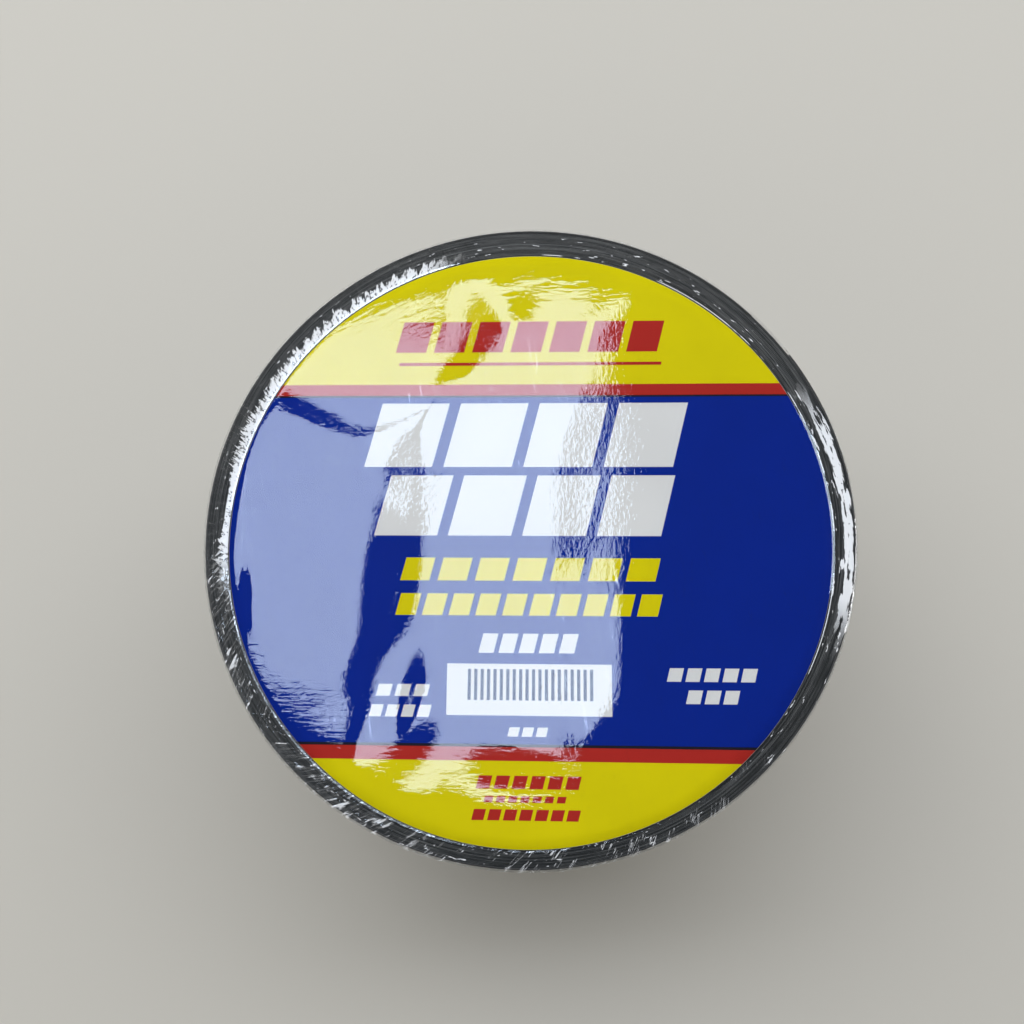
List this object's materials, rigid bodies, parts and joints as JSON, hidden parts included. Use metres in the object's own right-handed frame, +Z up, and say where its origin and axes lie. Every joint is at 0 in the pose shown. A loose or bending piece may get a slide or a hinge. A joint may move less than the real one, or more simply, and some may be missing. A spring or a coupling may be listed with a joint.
{
  "type": "duct tape roll",
  "caption": "Roll of black cloth duct tape on a paper core, lying flat, with a striped round card label on top and a clear shrink film wrapped round the whole roll.",
  "frame": {"origin": "middle of the underside, on the roll's axis, at the level of the surface that it lies on", "axes": "+Z up along the roll's axis, out through the label; the label's stripes run along X, and its red and yellow upper end is towards +Y"},
  "size_m": [0.0968, 0.0968, 0.0485],
  "materials": {
    "kraft_paper": "matte",
    "grey_board": "matte",
    "tape_edges": "satin",
    "tape_adhesive": "satin",
    "tape_backing": "satin",
    "label_card": "satin",
    "clear_film": "gloss",
    "film_weld": "gloss"
  },
  "bodies": {
    "root": {"core_inner_ply": "kraft_paper", "core_middle_plies": "grey_board", "core_outer_ply": "kraft_paper", "tape_inner_turns": "tape_edges", "last_turn_adhesive": "tape_adhesive", "last_turn_backing": "tape_backing", "label_disc": "label_card", "film_top_panel": "clear_film", "film_top_skirt": "clear_film", "film_bottom_skirt": "clear_film", "film_bottom_panel": "clear_film", "film_trim_seal": "film_weld"}
  },
  "joints": []
}
